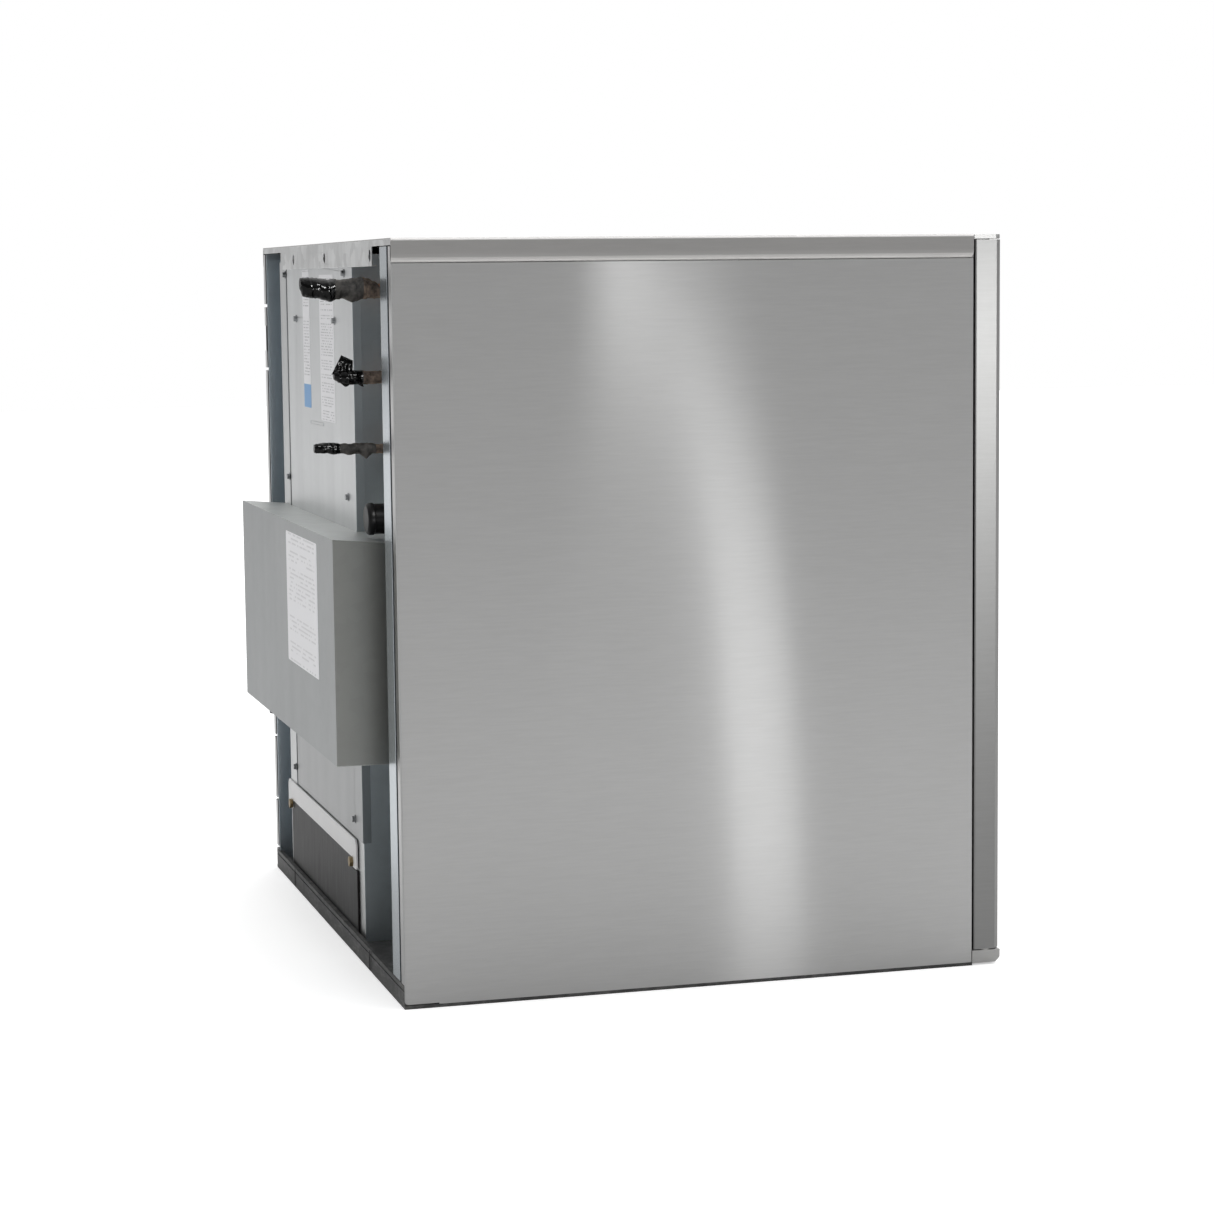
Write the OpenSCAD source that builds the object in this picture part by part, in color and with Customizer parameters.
// Undercounter refrigerator without its own compressor: the cold coil and fan sit in an insulated
// housing at the back, and three refrigerant lines end in taped stubs at the rear left corner.
// +Z is up, the door faces -Y, and the origin is the middle of the base tray on the floor.

/* [Cabinet] */
// Width across the side panels
cab_w = 760; // [740:10:800]
// Depth from the front frame to the rear flanges, without the door
cab_d = 604; // [600:4:640]
// Height from the floor to the top cover
cab_h = 758; // [752:2:780]
// Thickness of the stainless and galvanised sheet
sheet = 1.2; // [1.0:0.1:1.4]
// Height of the band that the top cover turns down over the sides
band_h = 24; // [18:1:26]

/* [Insulated body] */
// Thickness of the foam walls
wall = 40; // [34:1:42]
// Distance from the rear flanges to the back of the insulated body
chase_d = 102; // [98:1:108]

/* [Evaporator housing] */
// Left edge of the housing, seen from the front
house_x0 = -138; // [-142:1:-130]
// Right edge of the housing
house_x1 = 308; // [300:1:310]
// How far the rear cover sits in front of the rear flanges
cover_set = 9; // [8:1:11]

/* [Control box] */
// Left side of the box
box_x0 = -281; // [-290:1:-270]
// Right side of the box
box_x1 = 299; // [285:1:300]
// Underside of the box
box_z0 = 230; // [225:1:240]
// Height of the box at its rear face
box_h = 230; // [225:1:232]
// How far the box stands out behind the rear flanges
box_out = 44.5; // [40:0.5:60]

/* [Refrigerant lines] */
// Distance of the three stubs from the middle of the cabinet
line_x = -240; // [-246:1:-225]
// Height of the suction line
suction_z = 708; // [704:0.5:711]
// Height of the hot gas line
hot_gas_z = 620; // [614:1:626]
// Height of the liquid line
liquid_z = 548.5; // [542:0.5:552]
// Height of the drain stub
drain_z = 476.5; // [476:0.5:479]

/* [Door] */
// Thickness of the door
door_t = 29.5; // [26:0.5:32]
// Gap between the door and the cabinet
door_gap = 1.5; // [1.2:0.1:2]
// Height of the bar handle
handle_h = 300; // [200:10:400]

/* [Shelves] */
// Height of the lower shelf
shelf_low_z = 240; // [215:25:290]
// Height of the upper shelf
shelf_high_z = 440; // [415:25:490]

/* [Hidden] */
$fn = 48;

hw = cab_w / 2;
hd = cab_d / 2;
fit = 0.05;

// Colours
STAINLESS = [0.66, 0.66, 0.66];
GALVANISED = [0.74, 0.75, 0.75];
BLUE_STEEL = [0.42, 0.48, 0.50];
BLACK_PLASTIC = [0.2, 0.2, 0.2];
FOAM = [0.86, 0.80, 0.58];
WHITE_PAINT = [0.82, 0.82, 0.81];
COPPER = [0.72, 0.45, 0.30];
BROWN_FOAM = [0.34, 0.29, 0.25];
ZINC = [0.55, 0.55, 0.52];

// Base tray
lip_z = 3.5;
tray_z = 16;
rim_z = 23;
inset = 1.4;

// Side panels, top cover and rear rail
panel_top = cab_h - band_h - 0.4;
return_w = 14;
step_len = 35;
step_z = lip_z + 1.2;
bevel_h = 5;
bevel_in = 2.5;
lip_h = 7;
rail_x0 = -285;
rail_x1 = 254;
rail_z0 = cab_h - 26.5;
rail_hole_r = 6;
rail_holes = [-275, -25, 168];
post_x0 = 325;
post_x1 = 358;

// Insulated body
shell_x = 358;
shell_t = 1;
shell_z1 = cab_h - 27;
shell_y1 = hd - chase_d;
post_y0 = shell_y1 + 48;
post_z1 = cab_h - lip_h - 0.8;
frame_t = 3.2;
shell_y0 = -hd + frame_t;
liner_x = shell_x - shell_t - wall;
liner_z0 = tray_z + shell_t + wall;
liner_z1 = shell_z1 - shell_t - wall;
liner_y1 = shell_y1 - shell_t - wall;
room_x = liner_x - shell_t;
room_z0 = liner_z0 + shell_t;
room_z1 = liner_z1 - shell_t;
room_y1 = liner_y1 - shell_t;

// Air path between the storage room and the evaporator housing
fan_x = 85;
fan_z = 596;
duct_r = 80;
slot_x0 = -20;
slot_x1 = 190;
slot_z0 = 90;
slot_z1 = 190;

// Evaporator housing and its cover
cover_y = hd - cover_set;
cover_x1 = house_x1 - 48.6;
strip_x0 = cover_x1 + 7;
cover_z0 = 122.6;
house_z1 = shell_z1 + 14;
cover_z1 = shell_z1 + 9;
lining = 8;
room_h0 = tray_z + sheet + lining;
room_h1 = shell_z1 - sheet - lining;
screw_r = 1.95;
screw_xz = [[strip_x0 + 2.5, 725.5], [strip_x0 + 2.5, 489], [strip_x0 + 2.5, 142],
    [-97, 725.5], [-97, 489], [-97, 142], [199.5, 675], [-38, 675]];
bar_x0 = -109;
bar_x1 = 318;
bar_z0 = 98;
bar_z1 = 121;
tab_z0 = 88;
tab_w = 31;
bracket_x = [bar_x0 + 22, bar_x1 - 27];
bracket_z = 94;
bolt_r = 3;

// Control box
box_y1 = hd + box_out;
box_y0 = cover_y + sheet;
box_z1 = box_z0 + box_h;
lid_fall = 4.5;
ext_y0 = 236;
ext_x1 = house_x0 - 2.6;
box_screw_y = 322;
box_screw_z = [260, 420];
gland_x = 200;
gland_y = 322;
gland_r = 7;

// Lines, drain and evaporator coil
line_y = 235;
suction_r = 6.35;
hot_gas_r = 5;
liquid_r = 3.6;
drain_r = 10;
suction_end = 350;
hot_gas_end = 320;
liquid_end = 345;
flag_y0 = 316;
flag_y1 = 332;
drain_end = 300;
wrap_y0 = 276;
coil_x0 = -60;
coil_x1 = 230;
coil_y0 = 214;
coil_y1 = 266;
coil_row_y = [line_y - 8, line_y + 18];
coil_pitch = 40;
coil_rows = 4;
coil_z0 = 540;
coil_r = 6;
fin_count = 20;
pan_z0 = 512;
pan_z1 = 534;

// Door and hinge
door_y1 = -hd - door_gap;
door_y0 = door_y1 - door_t;
door_z0 = tray_z + 0.6;
door_z1 = cab_h - 5.8;
strip_z0 = door_z1 + 0.8;
strip_t = 4.5;
skin = 1;
fold = 6;
hinge_x = -hw + 7;
hinge_y = door_y1 - 14;
pin_r = 4;
bush_r = 5.5;
bush_h = 18;
gasket_x = liner_x + 13;
gasket_w = 16;
gasket_z0 = liner_z0 - 12;
gasket_z1 = liner_z1 + 13;
groove_d = 9;
handle_x = hw - 55;
handle_z = 470;
handle_r = 8;
handle_y = door_y0 - 36;

// Controls in the room
stat_y = -190;
stat_z = 630;
knob_r = 17;
switch_x = room_x + 30;
switch_z = 600;
plunger_r = 3;

// Shelves
wire_r = 3;
grid_r = 1.7;
shelf_y0 = -270;
shelf_y1 = 125;
shelf_x = room_x - 8;
grid_count = 24;
strip_ys = [-240, 90];
strip_pitch = 25;

// ---- shared shapes ----

// A box from one corner to the other
module slab(x, y, z) {
    translate([x[0], y[0], z[0]])
        cube([x[1] - x[0], y[1] - y[0], z[1] - z[0]]);
}

// A round bar along Y
module rod_y(x, z, y0, y1, r) {
    translate([x, y0, z])
        rotate([-90, 0, 0])
            cylinder(h = y1 - y0, r = r);
}

// A round bar along X
module rod_x(y, z, x0, x1, r) {
    translate([x0, y, z])
        rotate([0, 90, 0])
            cylinder(h = x1 - x0, r = r);
}

// A profile drawn in X and Z, drawn out along Y
module along_y(y0, y1) {
    translate([0, y1, 0])
        rotate([90, 0, 0])
            linear_extrude(height = y1 - y0)
                children();
}

// A profile drawn in Y and Z, drawn out along X
module along_x(x0, x1) {
    translate([x0, 0, 0])
        rotate([90, 0, 90])
            linear_extrude(height = x1 - x0)
                children();
}

// A rectangular frame in the XZ plane: outer half width and heights, and the width of its bars
module frame_y(x, z0, z1, w, y0, y1) {
    difference() {
        slab([-x, x], [y0, y1], [z0, z1]);
        slab([-x + w, x - w], [y0 - 1, y1 + 1], [z0 + w, z1 - w]);
    }
}

// ---- cabinet ----

// Moulded black tray that carries everything, hollow underneath between its ribs
module base_tray() {
    pocket = [[-345, -60], [60, 345]];
    color(BLACK_PLASTIC)
        difference() {
            union() {
                slab([-hw, hw], [-hd, hd], [0, lip_z]);
                slab([-hw + inset, hw - inset], [-hd, hd], [lip_z, tray_z]);
                slab([-hw + inset, hw - inset], [hd - 5, hd], [tray_z, rim_z]);
                slab([-hw + inset, hw - inset], [-hd, -hd + 3], [tray_z, rim_z]);
            }
            for (px = pocket, py = [[-hd + 40, -40], [40, hd - 40]])
                slab(px, py, [-1, tray_z - 5]);
            slab([-hw - 1, hw + 1], [hd - 1.2, hd + 1], [17, 18.4]);
            for (k = [-3:3])
                rod_y(k * 105, 0, hd - 4, hd + 1, 1.6);
            for (x = [-215, 190])
                slab([x, x + 1.6], [hd - 1, hd + 1], [4, rim_z + 1]);
        }
}

// One stainless side: a tall sheet with its front and rear edges folded in
module side_panel() {
    difference() {
        union() {
            translate([0, 0, lip_z])
                linear_extrude(height = panel_top - lip_z)
                    polygon([[hw - return_w, hd], [hw - 1.5, hd], [hw - 0.45, hd - 0.45],
                        [hw, hd - 1.5], [hw, -hd + 1.5], [hw - 0.45, -hd + 0.45],
                        [hw - 1.5, -hd], [hw - return_w, -hd], [hw - return_w, -hd + sheet],
                        [hw - sheet, -hd + sheet], [hw - sheet, hd - sheet],
                        [hw - return_w, hd - sheet]]);
            slab([hw - 10, hw - sheet], [-hd + sheet, hd - sheet], [panel_top - sheet, panel_top]);
            slab([hw - return_w, hw - bevel_in - sheet - 0.1], [hd - sheet, hd],
                [panel_top - sheet, cab_h - lip_h - 1]);
        }
        for (s = [-1, 1])
            slab([hw - return_w - 1, hw - sheet], [s * hd - 2, s * hd + 2], [0, rim_z + 1]);
        slab([hw - 2, hw + 1], [hd - step_len, hd + 1], [0, step_z]);
        along_x(hw - 2, hw + 1)
            difference() {
                translate([hd - 4, step_z])
                    square([5, 4]);
                translate([hd - 4, step_z + 4])
                    circle(r = 4);
            }
    }
}

module left_side_panel() {
    color(STAINLESS)
        mirror([1, 0, 0])
            side_panel();
}

// The right side also has lock slots and a relief in its rear fold
module right_side_panel() {
    slots = [26.5, 87, 165, 613, 689];
    color(STAINLESS)
        difference() {
            side_panel();
            for (z = slots)
                slab([hw - return_w - 1, hw + 1], [hd - 6, hd + 1], [z - 1.8, z + 1.8]);
            slab([hw - return_w - 1, hw + 1], [hd - 1.3, hd + 1], [635, 665]);
        }
}

// Stainless lid: a flat top with a band turned down at the sides and the front
module top_cover() {
    color(STAINLESS)
        union() {
            slab([-hw + 2, hw - 2], [-hd, hd], [cab_h - sheet, cab_h]);
            slab([-hw + sheet, hw - sheet], [-hd, -hd + sheet], [cab_h - band_h, cab_h - sheet]);
            for (s = [0, 1])
                mirror([s, 0, 0])
                    along_y(-hd, hd)
                        polygon([[hw - 2, cab_h], [hw - 0.6, cab_h - 0.6], [hw, cab_h - 2],
                            [hw, cab_h - band_h + bevel_h], [hw - bevel_in, cab_h - band_h],
                            [hw - bevel_in - sheet, cab_h - band_h],
                            [hw - sheet, cab_h - band_h + bevel_h + 0.4],
                            [hw - sheet, cab_h - 2.2], [hw - 2, cab_h - sheet]]);
        }
}

// Galvanised rail under the rear edge of the lid, with a deep middle flange and three holes
module rear_top_rail() {
    top = cab_h - sheet;
    rail_x = hw - 2.2;
    color(GALVANISED)
        difference() {
            union() {
                slab([-rail_x, rail_x], [hd - 40, hd], [top - sheet, top]);
                slab([-rail_x, rail_x], [hd - sheet, hd], [cab_h - lip_h, top]);
                slab([rail_x0, rail_x1], [hd - sheet, hd], [rail_z0, top]);
                slab([rail_x0, rail_x1], [hd - 5.5, hd], [rail_z0, rail_z0 + sheet]);
            }
            for (x = rail_holes)
                rod_y(x, cab_h - 16, hd - 3, hd + 1, rail_hole_r);
        }
}

// Galvanised corner post, with its wide flange facing the rear
module left_rear_post() {
    color(BLUE_STEEL)
        mirror([1, 0, 0])
            union() {
                slab([post_x0, post_x1], [hd - sheet, hd], [rim_z + 1, post_z1]);
                slab([post_x0, post_x0 + sheet], [post_y0, hd - 5.2], [tray_z, post_z1]);
                slab([post_x0, post_x0 + sheet], [hd - 5.2, hd - sheet], [rim_z + 1, post_z1]);
                slab([post_x1 - sheet, post_x1], [hd - 40, hd - 5.2], [tray_z, post_z1]);
                slab([post_x1 - sheet, post_x1], [hd - 5.2, hd - sheet], [rim_z + 1, post_z1]);
            }
}

// Galvanised corner post, with its wide flange at the front and its web open to the rear
module right_rear_post() {
    web_y0 = hd - 40;
    color(BLUE_STEEL)
        union() {
            slab([post_x0, post_x1], [web_y0, web_y0 + sheet], [tray_z, post_z1]);
            slab([post_x0, post_x0 + sheet], [post_y0, web_y0], [tray_z, post_z1]);
            slab([post_x1 - sheet, post_x1], [web_y0, hd - 5.2], [tray_z, post_z1]);
            slab([post_x1 - sheet, post_x1], [hd - 5.2, hd], [rim_z + 1, post_z1]);
        }
}

// ---- insulated body ----

// The round fan duct and the square return duct through the back wall
module ducts(r, grow) {
    rod_y(fan_x, fan_z, room_y1 - 5, shell_y1 + 5, r);
    slab([slot_x0 - grow, slot_x1 + grow], [room_y1 - 5, shell_y1 + 5],
        [slot_z0 - grow, slot_z1 + grow]);
}

// Galvanised outer skin, open at the front
module outer_shell() {
    color(GALVANISED)
        difference() {
            slab([-shell_x, shell_x], [shell_y0, shell_y1], [tray_z, shell_z1]);
            slab([-shell_x + shell_t, shell_x - shell_t], [shell_y0 - 1, shell_y1 - shell_t],
                [tray_z + shell_t, shell_z1 - shell_t]);
            ducts(duct_r, 0);
        }
}

// Foam between the two skins, with a pocket for the door switch and the lamp
module foam_insulation() {
    color(FOAM)
        difference() {
            slab([-shell_x + shell_t, shell_x - shell_t], [shell_y0, shell_y1 - shell_t],
                [tray_z + shell_t, shell_z1 - shell_t]);
            slab([-liner_x, liner_x], [shell_y0 - 1, liner_y1], [liner_z0, liner_z1]);
            ducts(duct_r, 0);
            slab([switch_x - 8.2, switch_x + 8.2], [shell_y0 - 1, shell_y0 + 24.5],
                [switch_z - 15, switch_z + 15]);
        }
}

// Inner skin of the cold room, open at the front
module inner_liner() {
    color(STAINLESS)
        difference() {
            slab([-liner_x, liner_x], [shell_y0, liner_y1], [liner_z0, liner_z1]);
            slab([-room_x, room_x], [shell_y0 - 1, room_y1], [room_z0, room_z1]);
            ducts(duct_r, 0);
        }
}

// Frame that closes the foam at the front and that the door seals on
module front_frame() {
    edge = hw - return_w - 0.3;
    color(STAINLESS)
        difference() {
            slab([-edge, edge], [-hd, shell_y0], [rim_z + 0.3, cab_h - band_h - 0.4]);
            slab([-room_x, room_x], [-hd - 1, shell_y0 + 1], [room_z0, room_z1]);
            rod_y(switch_x, switch_z, -hd - 1, shell_y0 + 1, 4);
        }
}

// Channel below the door that carries the lower hinge pin
module toe_rail() {
    top = tray_z - 0.5;
    color(STAINLESS)
        difference() {
            along_x(-hw, hw)
                polygon([[-hd, 2], [door_y0 + 5, 2], [door_y0, 7], [door_y0, top],
                    [-hd, top]]);
            along_x(-hw + 2, hw - 2)
                polygon([[-hd + 1, 1], [door_y0 + 5.8, 1], [door_y0 + 2, 8], [door_y0 + 2, top - 3],
                    [-hd - 2, top - 3], [-hd - 2, 4], [-hd + 1, 4]]);
            translate([hinge_x, hinge_y, -1])
                cylinder(h = 30, r = pin_r);
        }
}

// Strip over the top of the door that holds the upper hinge pin
module top_hinge_strip() {
    color(STAINLESS)
        difference() {
            translate([0, 0, strip_z0])
                linear_extrude(height = strip_t)
                    polygon([[-hw, -hd], [-hw, door_y0 + 7], [-hw + 2, door_y0 + 2],
                        [-hw + 7, door_y0], [hw - 7, door_y0], [hw - 2, door_y0 + 2],
                        [hw, door_y0 + 7], [hw, -hd]]);
            translate([hinge_x, hinge_y, strip_z0 - 7])
                cylinder(h = 20, r = pin_r);
        }
}

module hinge_pins() {
    color(ZINC)
        for (z = [[tray_z - 3.5, 32], [strip_z0 - 17, strip_z0 + strip_t]])
            translate([hinge_x, hinge_y, z[0]])
                cylinder(h = z[1] - z[0], r = pin_r);
}

// Nylon washer that the door turns on
module hinge_washer() {
    color(WHITE_PAINT)
        translate([hinge_x, hinge_y, tray_z - 0.5])
            difference() {
                cylinder(h = 1, r = 6.5);
                translate([0, 0, -1])
                    cylinder(h = 3, r = pin_r);
            }
}

// ---- evaporator housing ----

// Galvanised box behind the insulated body, open to the rear, with flanges for its cover
module evaporator_housing() {
    y0 = shell_y1;
    color(GALVANISED)
        difference() {
            union() {
                difference() {
                    slab([house_x0, house_x1], [y0, cover_y], [tray_z, house_z1]);
                    slab([house_x0 + sheet, house_x1 - sheet], [y0 - 1, cover_y - sheet],
                        [tray_z + sheet, house_z1 - sheet]);
                    slab([house_x0 + 20, cover_x1 - 20], [y0, cover_y + 1], [140, 711]);
                }
                slab([strip_x0, house_x1], [cover_y, cover_y + sheet], [tray_z, cover_z1]);
            }
            for (p = screw_xz)
                if (p[1] > 700 || p[1] < 150 || p[0] > cover_x1)
                    rod_y(p[0], p[1], cover_y - 3, cover_y + 3, screw_r);
            for (x = bracket_x)
                rod_y(x, bracket_z, cover_y - 3, cover_y + 3, bolt_r);
            slab([-105, -89], [cover_y - 3, cover_y + 1], [481, 497]);
            chase_holes(0.3);
        }
}

// The holes where the lines and the drain pass through the left wall
module chase_holes(gap) {
    for (p = [[suction_z, suction_r], [hot_gas_z, hot_gas_r], [liquid_z, liquid_r], [drain_z, drain_r]])
        rod_x(line_y, p[0], house_x0 - 5, house_x0 + sheet + lining + 5, p[1] + gap);
}

// Foam lining of the housing
module housing_lining() {
    x0 = house_x0 + sheet;
    x1 = house_x1 - sheet;
    color(FOAM)
        difference() {
            slab([x0, x1], [shell_y1, cover_y - sheet - 12], [tray_z + sheet, house_z1 - sheet]);
            slab([x0 + lining, x1 - lining], [shell_y1 - 1, cover_y], [room_h0, room_h1]);
            chase_holes(0.3);
        }
}

// Large screwed cover, with its left edge folded forward
module rear_cover() {
    color(GALVANISED)
        difference() {
            union() {
                slab([house_x0, cover_x1], [cover_y, cover_y + sheet], [cover_z0, cover_z1]);
                slab([house_x0 - sheet, house_x0], [cover_y - 8, cover_y + sheet],
                    [cover_z0, cover_z1]);
            }
            for (p = screw_xz)
                rod_y(p[0], p[1], cover_y - 1, cover_y + 3, screw_r);
            for (x = [40, 120])
                rod_y(x, 560, cover_y - 1, cover_y + 3, 1.6);
        }
}

// Hex washer-head screws: eight in the rear cover and two in the side of the control box
module hex_screws() {
    color(ZINC) {
        for (p = screw_xz)
            translate([p[0], cover_y + sheet, p[1]])
                rotate([-90, 0, 0])
                    hex_screw();
        for (z = box_screw_z)
            translate([box_x1, box_screw_y, z])
                rotate([0, 90, 0])
                    hex_screw();
    }
}

// One screw, with the underside of its head at the origin and its shank along -Z
module hex_screw() {
    translate([0, 0, -7])
        cylinder(h = 7, r = screw_r);
    cylinder(h = 0.9, r = 4.4);
    translate([0, 0, 0.9])
        cylinder(h = 2.6, r = 3.4, $fn = 6);
}

// Black plastic sheet across the foot of the housing
module splash_panel() {
    color(BLACK_PLASTIC)
        union() {
            slab([-110, 296], [cover_y + sheet, cover_y + sheet + 1.6], [18, tab_z0 - 1]);
            slab([bar_x0 + tab_w + 1, bar_x1 - tab_w - 1],
                [cover_y + sheet, cover_y + sheet + 1.6], [tab_z0 - 1, bar_z0 - 0.6]);
        }
}

// White painted bar with rounded corners and a tab turned down at each end
module retaining_bracket() {
    y0 = cover_y + sheet;
    color(WHITE_PAINT)
        difference() {
            along_y(y0, y0 + 2)
                polygon([[bar_x0, tab_z0 + 3], [bar_x0 + 3, tab_z0], [bar_x0 + tab_w - 4, tab_z0],
                    [bar_x0 + tab_w, tab_z0 + 4], [bar_x0 + tab_w, bar_z0], [bar_x1 - tab_w, bar_z0],
                    [bar_x1 - tab_w, tab_z0 + 4], [bar_x1 - tab_w + 4, tab_z0], [bar_x1 - 3, tab_z0],
                    [bar_x1, tab_z0 + 3], [bar_x1, bar_z1 - 6], [bar_x1 - 6, bar_z1],
                    [bar_x0 + 6, bar_z1], [bar_x0, bar_z1 - 6]]);
            for (x = bracket_x)
                rod_y(x, bracket_z, y0 - 1, y0 + 4, bolt_r);
        }
}

module bracket_bolts() {
    y = cover_y + sheet + 2;
    color([0.45, 0.36, 0.22])
        for (x = bracket_x) {
            rod_y(x, bracket_z, y - 10, y, bolt_r);
            translate([x, y, bracket_z])
                rotate([-90, 0, 0])
                    cylinder(h = 4, r = 5.8, $fn = 6);
        }
}

// ---- control box ----

// The space inside an outline of the box, inset by t
module box_space(t) {
    top = box_z1 - t;
    along_x(box_x0 + t, box_x1 - t)
        polygon([[box_y0 - t, box_z0 + t], [box_y1 - t, box_z0 + t], [box_y1 - t, top],
            [box_y0 - t, top - lid_fall]]);
    along_x(box_x0 + t, ext_x1 - t)
        polygon([[ext_y0 + t, box_z0 + t], [box_y0 + t, box_z0 + t],
            [box_y0 + t, top - lid_fall], [ext_y0 + t, top - lid_fall]]);
}

// Folded galvanised enclosure, open against the rear cover, that reaches round into the chase
module control_box() {
    color(GALVANISED)
        difference() {
            box_space(0);
            box_space(sheet);
            translate([gland_x, gland_y, box_z0 - 1])
                cylinder(h = 4, r = 11);
            for (z = box_screw_z)
                rod_x(box_screw_y, z, box_x1 - 3, box_x1 + 1, screw_r);
        }
}

// Mounting plate that closes the box against the cover
module control_box_plate() {
    color(GALVANISED)
        union() {
            slab([house_x0 + 2, box_x1 - sheet], [box_y0, box_y0 + sheet],
                [box_z0 + sheet, box_z1 - lid_fall - sheet]);
            slab([box_x1 - 16, box_x1 - sheet], [box_y0 + sheet, box_y0 + 36],
                [250, 250 + sheet]);
        }
}

// Row of screw terminals on the mounting plate
module terminal_block() {
    y = box_y0 + sheet;
    color([0.85, 0.84, 0.78])
        difference() {
            slab([-70, 30], [y, y + 22], [300, 330]);
            for (k = [0:6])
                slab([-64 + k * 13.5, -54 + k * 13.5], [y + 8, y + 23], [306, 324]);
        }
}

module relay() {
    y = box_y0 + sheet;
    color(BLACK_PLASTIC)
        union() {
            slab([70, 115], [y, y + 6], [290, 360]);
            slab([74, 111], [y + 6, y + 40], [298, 352]);
        }
}

module transformer() {
    y = box_y0 + sheet;
    color([0.35, 0.3, 0.26])
        union() {
            slab([150, 222], [y, y + 2], [300, 350]);
            slab([160, 212], [y + 2, y + 42], [306, 344]);
            rod_y(156, 325, y + 2, y + 4, 3.5);
            rod_y(216.5, 325, y + 2, y + 4, 3.5);
        }
}

// Bushing for the supply cable in the underside of the box
module cable_gland() {
    color(BLACK_PLASTIC)
        translate([gland_x, gland_y, box_z0 - 12])
            difference() {
                union() {
                    cylinder(h = 12, r = 14);
                    cylinder(h = 22, r = 11);
                }
                translate([0, 0, -1])
                    cylinder(h = 30, r = gland_r);
            }
}

// ---- refrigerant lines and drain ----

// A tube that comes out of the housing along -X, turns through a bend and runs along +Y
module bent_line(z, r, x0, y1, bend, wall_t) {
    cx = line_x + bend;
    cy = line_y + bend;
    difference() {
        union() {
            rod_x(line_y, z, cx, x0, r);
            rod_y(line_x, z, cy, y1, r);
            translate([cx, cy, z])
                rotate([0, 0, 180])
                    rotate_extrude(angle = 90)
                        translate([bend, 0])
                            circle(r = r);
        }
        rod_x(line_y, z, cx, x0 + 1, r - wall_t);
        rod_y(line_x, z, cy, y1 + 1, r - wall_t);
        translate([cx, cy, z])
            rotate([0, 0, 180])
                rotate_extrude(angle = 90)
                    translate([bend, 0])
                        circle(r = r - wall_t);
    }
}

// Soft wrap with a closed taped end, thicker above the tube than below it where rise is above 0
module wrap(z, r, thick, rise, y_end, tip) {
    difference() {
        union() {
            rod_y(line_x, z + rise, wrap_y0, y_end, r + rise + thick);
            rod_y(line_x, z + rise, y_end, y_end + tip, r + rise + thick * 0.6);
        }
        rod_y(line_x, z, wrap_y0 - 1, y_end, r);
    }
}

module suction_line() {
    color(COPPER)
        bent_line(suction_z, suction_r, coil_x0 - 8, suction_end, 30, 1.2);
}

module suction_wrap() {
    color(BROWN_FOAM)
        wrap(suction_z, suction_r, 1.65, 2.5, suction_end, 18.5);
}

module hot_gas_line() {
    color(COPPER)
        bent_line(hot_gas_z, hot_gas_r, coil_x0 - 8, hot_gas_end, 26, 1);
}

// The end of this wrap is a folded flag of tape that stands up
module hot_gas_wrap() {
    color(BROWN_FOAM)
        union() {
            wrap(hot_gas_z, hot_gas_r, 2, 0, hot_gas_end, 16);
            slab([line_x - 2, line_x + 2], [flag_y0, flag_y1],
                [hot_gas_z + 6.8, hot_gas_z + 24]);
        }
}

module liquid_line() {
    color(COPPER)
        bent_line(liquid_z, liquid_r, coil_x0 - 33, liquid_end, 22, 0.9);
}

module liquid_wrap() {
    color(BROWN_FOAM)
        wrap(liquid_z, liquid_r, 2, 0, liquid_end, 10);
}

// Valve between the liquid line and the lowest tube of the coil
module expansion_valve() {
    x = coil_x0 - 23;
    color([0.75, 0.62, 0.32])
        union() {
            translate([x, line_y, liquid_z - 10])
                cylinder(h = 36, r = 10);
            translate([x, line_y, liquid_z + 26])
                cylinder(h = 8, r = 15);
        }
}

// Drain from the pan, through the wall and round to the rear
module drain_tube() {
    color(WHITE_PAINT)
        bent_line(drain_z, drain_r, -90, drain_end, 30, 1.6);
}

// Round push-on cap on the end of the drain
module drain_cap() {
    depth = 34;
    color(BLACK_PLASTIC)
        translate([line_x, drain_end + 4 - depth, drain_z])
            rotate([-90, 0, 0])
                difference() {
                    rotate_extrude()
                        polygon([[0, 0], [15.4, 0], [15.4, depth - 8], [16.4, depth - 7],
                            [16.4, depth - 3], [15.6, depth - 1.2], [13.6, depth], [0, depth]]);
                    translate([0, 0, -1])
                        cylinder(h = depth - 2.6, r = drain_r + fit);
                }
}

// Tray under the coil, with its outlet pipe
module drain_pan() {
    color(STAINLESS)
        difference() {
            union() {
                slab([-110, 260], [206, 272], [pan_z0, pan_z1]);
                translate([-100, line_y, drain_z + drain_r + 0.4])
                    cylinder(h = pan_z0 - drain_z - drain_r, r = 8);
            }
            slab([-108.8, 258.8], [207.2, 270.8], [pan_z0 + 1.2, pan_z1 + 1]);
            translate([-100, line_y, drain_z])
                cylinder(h = 60, r = 6.5);
        }
}

// Aluminium fins with holes for the tubes
module evaporator_fins() {
    step = (coil_x1 - coil_x0 - 1) / (fin_count - 1);
    color([0.8, 0.82, 0.84])
        for (k = [0:fin_count - 1])
            along_x(coil_x0 + k * step, coil_x0 + k * step + 1)
                difference() {
                    translate([coil_y0, coil_z0])
                        square([coil_y1 - coil_y0, room_h1 - 1 - coil_z0]);
                    for (y = coil_row_y, n = [0:coil_rows - 1])
                        translate([y, suction_z - n * coil_pitch])
                            circle(r = coil_r);
                }
}

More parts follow.
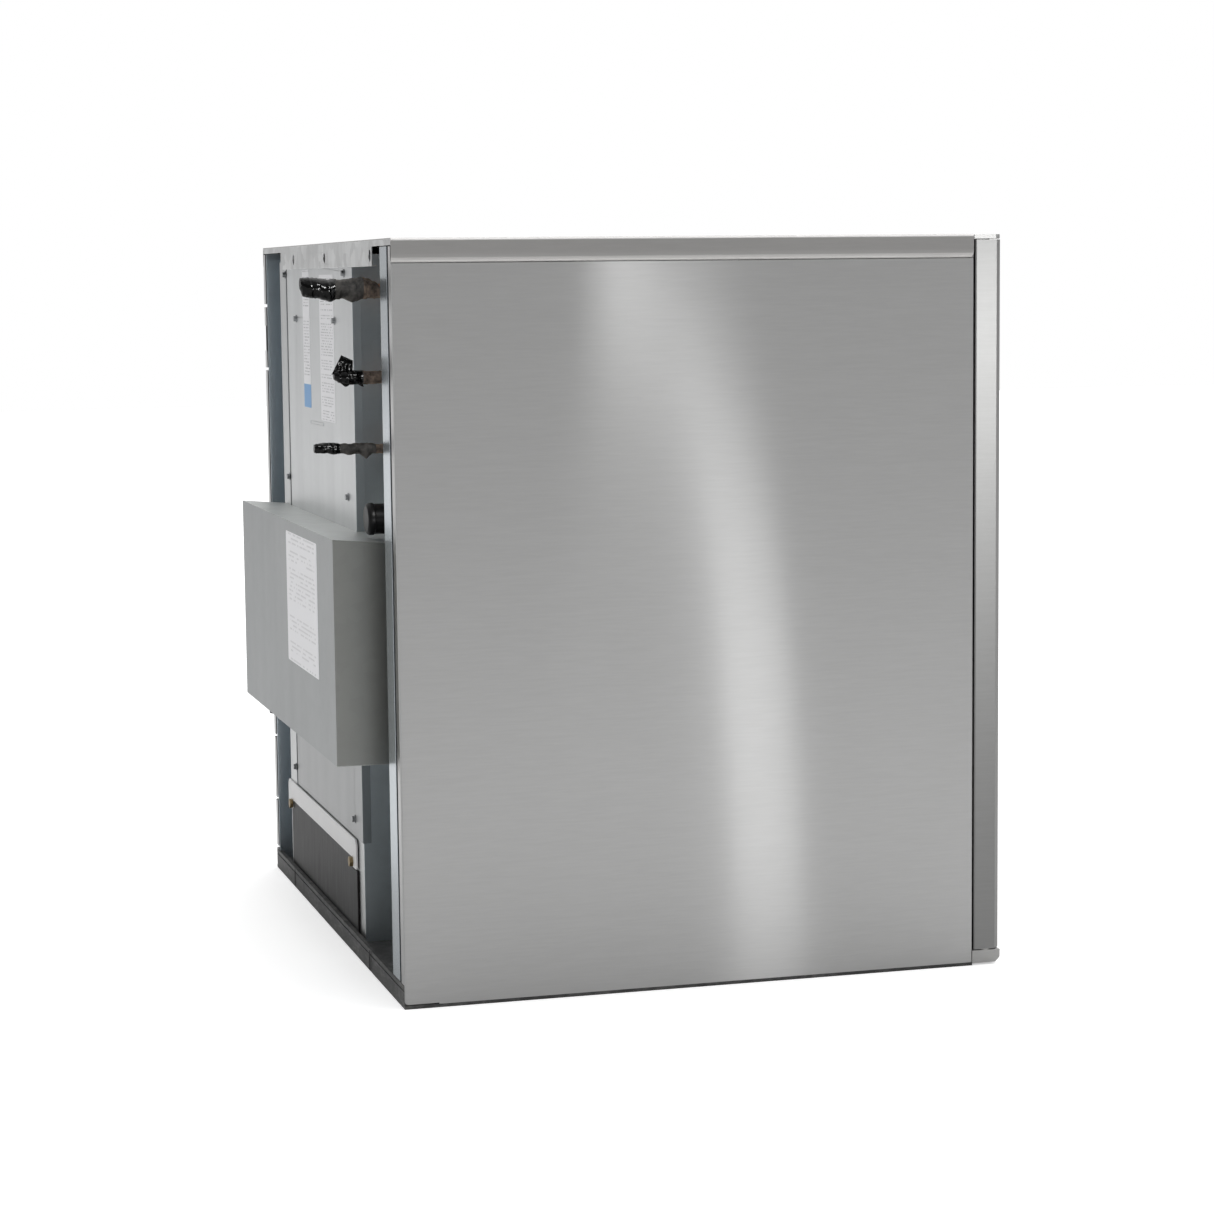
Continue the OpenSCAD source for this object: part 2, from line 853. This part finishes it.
// Serpentine tubes of the coil and the two stubs that join it to the lines
module evaporator_tubes() {
    x0 = coil_x0 - 6;
    x1 = coil_x1 + 6;
    color(COPPER)
        union() {
            for (y = coil_row_y, n = [0:coil_rows - 1])
                rod_x(y, suction_z - n * coil_pitch, x0, x1, coil_r);
            for (y = coil_row_y, n = [0, 2])
                return_bend(x1, y, suction_z - n * coil_pitch - coil_pitch / 2, 1);
            for (y = coil_row_y)
                return_bend(x0, y, suction_z - coil_pitch * 1.5, -1);
        }
}

// Half turn that joins two tubes one above the other
module return_bend(x, y, z, side) {
    translate([x, y, z])
        rotate([90, 0, 0])
            rotate([0, 0, side > 0 ? -90 : 90])
                rotate_extrude(angle = 180)
                    translate([coil_pitch / 2, 0])
                        circle(r = coil_r);
}

// ---- fan ----

// Ring that fills the duct, with three arms to the motor seat
module fan_shroud() {
    color(BLACK_PLASTIC)
        translate([fan_x, liner_y1 + 3, fan_z])
            rotate([-90, 0, 0])
                union() {
                    difference() {
                        cylinder(h = 34, r = duct_r - 0.2);
                        translate([0, 0, -1])
                            cylinder(h = 36, r = duct_r - 4);
                    }
                    difference() {
                        union() {
                            for (a = [0, 120, 240])
                                rotate([0, 0, a])
                                    translate([26, -3, 28])
                                        cube([duct_r - 28, 6, 6]);
                            translate([0, 0, 28])
                                cylinder(h = 6, r = 31);
                        }
                        translate([0, 0, 20])
                            cylinder(h = 20, r = 24);
                    }
                }
}

module fan_motor() {
    y = liner_y1 + 31;
    color([0.3, 0.3, 0.32])
        union() {
            rod_y(fan_x, fan_z, y, coil_y0 - 3, 24);
            rod_y(fan_x, fan_z, y - 26, y, 3);
        }
}

// Five blades on a hub that turns on the motor shaft
module fan_blade() {
    y = liner_y1 + 9;
    color([0.85, 0.85, 0.86])
        translate([fan_x, y, fan_z])
            rotate([-90, 0, 0])
                difference() {
                    union() {
                        cylinder(h = 18, r = 17);
                        intersection() {
                            for (a = [0:72:288])
                                rotate([0, 0, a])
                                    translate([12, 0, 9])
                                        rotate([28, 0, 0])
                                            translate([0, -17, -0.8])
                                                cube([60, 34, 1.6]);
                            cylinder(h = 18, r = 70);
                        }
                    }
                    translate([0, 0, -1])
                        cylinder(h = 20, r = 3 + fit);
                }
}

// Guard over the fan on the room side: rings joined by six arms
module fan_guard() {
    color(ZINC)
        translate([fan_x, room_y1, fan_z])
            rotate([90, 0, 0]) {
                for (r = [24:15:84])
                    difference() {
                        translate([0, 0, 1.5])
                            cylinder(h = 2.5, r = r + 1.3);
                        cylinder(h = 5, r = r - 1.3);
                    }
                translate([0, 0, 0.5])
                    cylinder(h = 3.5, r = 10);
                for (a = [0:60:300])
                    rotate([0, 0, a])
                        translate([5, -1.5, 0.1])
                            cube([79.5, 3, 1.9]);
            }
}

// Slotted plate over the return duct
module return_grille() {
    color(STAINLESS)
        difference() {
            slab([slot_x0 - 12, slot_x1 + 12], [room_y1 - 2, room_y1],
                [slot_z0 - 12, slot_z1 + 12]);
            for (k = [0:7])
                slab([slot_x0 + 4, slot_x1 - 4], [room_y1 - 3, room_y1 + 1],
                    [slot_z0 + 4 + k * 12, slot_z0 + 10 + k * 12]);
        }
}

// ---- controls and lamp in the room ----

module thermostat_body() {
    color(WHITE_PAINT)
        union() {
            slab([room_x - 24, room_x], [stat_y - 35, stat_y + 35], [stat_z - 32, stat_z + 32]);
            rod_x(stat_y, stat_z, room_x - 38, room_x - 24, 3);
        }
}

module thermostat_knob() {
    x = room_x - 40;
    color(BLACK_PLASTIC)
        difference() {
            union() {
                rod_x(stat_y, stat_z, x, x + 15, knob_r);
                slab([x - 4, x], [stat_y - 3, stat_y + 3], [stat_z - knob_r + 2, stat_z + knob_r - 2]);
            }
            rod_x(stat_y, stat_z, x + 2, x + 16, 3 + fit);
        }
}

module door_switch() {
    y = shell_y0;
    color(WHITE_PAINT)
        difference() {
            slab([switch_x - 8, switch_x + 8], [y, y + 24], [switch_z - 14.8, switch_z + 14.8]);
            rod_y(switch_x, switch_z, y - 1, y + 20, plunger_r + 0.06);
        }
}

// Plunger that the closed door holds in
module switch_plunger() {
    color(BLACK_PLASTIC)
        rod_y(switch_x, switch_z, -hd - door_gap + 0.3, shell_y0 + 14, plunger_r);
}

module interior_light() {
    z = room_z1;
    color([0.95, 0.95, 0.9])
        union() {
            slab([-70, 70], [-150, -105], [z - 6, z]);
            slab([-62, 62], [-145, -110], [z - 18, z - 6]);
        }
}

// ---- shelves ----

// Slotted strips in the four corners of the room
module shelf_pilasters() {
    z0 = room_z0 + 30;
    count = 21;
    color(STAINLESS)
        for (s = [-1, 1], y = strip_ys)
            difference() {
                slab([s > 0 ? room_x - 4 : -room_x, s > 0 ? room_x : -room_x + 4],
                    [y - 9, y + 9], [z0, z0 + count * strip_pitch]);
                for (k = [0:count - 1])
                    slab([s > 0 ? room_x - 5 : -room_x + 2, s > 0 ? room_x - 2 : -room_x + 5],
                        [y - 5, y + 5], [z0 + 8 + k * strip_pitch, z0 + 12 + k * strip_pitch]);
            }
}

// Clips that hook into the strips under both shelves
module shelf_clips() {
    color(ZINC)
        for (s = [0, 1], y = strip_ys, z = [shelf_low_z, shelf_high_z])
            mirror([s, 0, 0]) {
                slab([room_x - 16, room_x - 4], [y - 6, y + 6], [z - wire_r - 2.2, z - wire_r - 0.2]);
                slab([room_x - 6, room_x - 4], [y - 6, y + 6], [z - wire_r - 14, z - wire_r - 2.2]);
            }
}

// Welded wire shelf: a rim, two cross wires and a row of thin wires
module wire_shelf(z) {
    step = (2 * shelf_x - 2 * wire_r) / (grid_count + 1);
    color([0.88, 0.88, 0.88])
        union() {
            for (y = [shelf_y0 + wire_r, shelf_y1 - wire_r])
                rod_x(y, z, -shelf_x, shelf_x, wire_r);
            rod_x((shelf_y0 + shelf_y1) / 2, z, -shelf_x + wire_r, shelf_x - wire_r, wire_r);
            for (x = [-shelf_x + wire_r, shelf_x - wire_r])
                rod_y(x, z, shelf_y0, shelf_y1, wire_r);
            for (k = [1:grid_count])
                rod_y(-shelf_x + wire_r + k * step, z + wire_r, shelf_y0 + 1, shelf_y1 - 1, grid_r);
        }
}

module lower_shelf() {
    wire_shelf(shelf_low_z);
}

module upper_shelf() {
    wire_shelf(shelf_high_z);
}

// ---- door ----

// Plan of the door, inset by t: folded front corners and small rounds at the back
module door_plan(t) {
    x = hw - t;
    f = fold - t * 0.4;
    r = max(1.6 - t, 0.3);
    polygon([[-x, door_y0 + t + f], [-x + f, door_y0 + t], [x - f, door_y0 + t],
        [x, door_y0 + t + f], for (a = [0:22.5:90]) [x - r + r * cos(a), door_y1 - t - r + r * sin(a)],
        for (a = [90:22.5:180]) [-x + r + r * cos(a), door_y1 - t - r + r * sin(a)]]);
}

// Stainless pan: front face, folded sides, top, bottom and a rear flange
module door_panel() {
    color(STAINLESS)
        difference() {
            translate([0, 0, door_z0])
                linear_extrude(height = door_z1 - door_z0)
                    door_plan(0);
            translate([0, 0, door_z0 + skin])
                linear_extrude(height = door_z1 - door_z0 - 2 * skin)
                    door_plan(skin);
            slab([-hw + 18, hw - 18], [door_y1 - 2, door_y1 + 1], [door_z0 + 18, door_z1 - 18]);
            hinge_bores(bush_r);
        }
}

// Bores for both hinge bushes
module hinge_bores(r) {
    for (z = [door_z0, door_z1 - bush_h])
        translate([hinge_x, hinge_y, z - 0.01])
            cylinder(h = bush_h + 0.02, r = r);
}

// Plastic bushes in the door that turn on the hinge pins
module hinge_bushes() {
    color(WHITE_PAINT)
        for (z = [door_z0, door_z1 - bush_h])
            translate([hinge_x, hinge_y, z])
                difference() {
                    cylinder(h = bush_h, r = bush_r);
                    translate([0, 0, -1])
                        cylinder(h = bush_h + 2, r = pin_r + fit);
                }
}

// Foam core of the door
module door_foam() {
    color(FOAM)
        difference() {
            translate([0, 0, door_z0 + skin])
                linear_extrude(height = door_z1 - door_z0 - 2 * skin)
                    door_plan(skin);
            slab([-hw + 18, hw - 18], [door_y1 - 1.5, door_y1 + 1], [door_z0 + 18, door_z1 - 18]);
            groove(1.5);
            hinge_bores(bush_r);
        }
}

// The channel that the gasket sits in, grown by t
module groove(t) {
    difference() {
        slab([-gasket_x - gasket_w / 2 - t, gasket_x + gasket_w / 2 + t],
            [door_y1 - groove_d - t, door_y1 + 1],
            [gasket_z0 - gasket_w / 2 - t, gasket_z1 + gasket_w / 2 + t]);
        slab([-gasket_x + gasket_w / 2 + t, gasket_x - gasket_w / 2 - t],
            [door_y1 - groove_d - t - 1, door_y1 + 2],
            [gasket_z0 + gasket_w / 2 + t, gasket_z1 - gasket_w / 2 - t]);
    }
}

// Inner face of the door with the channel for the gasket
module door_liner() {
    color(WHITE_PAINT)
        difference() {
            union() {
                slab([-hw + 18, hw - 18], [door_y1 - 1.5, door_y1], [door_z0 + 18, door_z1 - 18]);
                intersection() {
                    groove(1.5);
                    slab([-hw, hw], [door_y0, door_y1], [door_z0, door_z1]);
                }
            }
            groove(0);
        }
}

// Magnetic gasket: a foot in the channel, a waist and a flat sealing strip
module door_gasket() {
    z0 = gasket_z0 - gasket_w / 2;
    z1 = gasket_z1 + gasket_w / 2;
    x = gasket_x + gasket_w / 2;
    color([0.35, 0.35, 0.36])
        union() {
            frame_y(x - 0.1, z0 + 0.1, z1 - 0.1, gasket_w - 0.2, door_y1 - groove_d, door_y1 - 5);
            frame_y(x - 4, z0 + 4, z1 - 4, gasket_w - 8, door_y1 - 5, door_y1 - 3);
            frame_y(x - 1, z0 + 1, z1 - 1, gasket_w - 2, door_y1 - 3, -hd - 0.3);
        }
}

// Bar handle on two round posts
module door_handle() {
    z0 = handle_z - handle_h / 2;
    z1 = handle_z + handle_h / 2;
    color(STAINLESS)
        union() {
            translate([handle_x, handle_y, z0])
                cylinder(h = handle_h, r = handle_r);
            for (z = [z0 + 30, z1 - 30])
                rod_y(handle_x, z, handle_y, door_y0, 6);
        }
}

base_tray();
left_side_panel();
right_side_panel();
top_cover();
rear_top_rail();
left_rear_post();
right_rear_post();
outer_shell();
foam_insulation();
inner_liner();
front_frame();
toe_rail();
top_hinge_strip();
hinge_pins();
hinge_washer();
hinge_bushes();
evaporator_housing();
housing_lining();
rear_cover();
hex_screws();
splash_panel();
retaining_bracket();
bracket_bolts();
control_box();
control_box_plate();
terminal_block();
relay();
transformer();
cable_gland();
suction_line();
suction_wrap();
hot_gas_line();
hot_gas_wrap();
liquid_line();
liquid_wrap();
expansion_valve();
drain_tube();
drain_cap();
drain_pan();
evaporator_fins();
evaporator_tubes();
fan_shroud();
fan_motor();
fan_blade();
fan_guard();
return_grille();
thermostat_body();
thermostat_knob();
door_switch();
switch_plunger();
interior_light();
shelf_pilasters();
shelf_clips();
lower_shelf();
upper_shelf();
door_panel();
door_foam();
door_liner();
door_gasket();
door_handle();
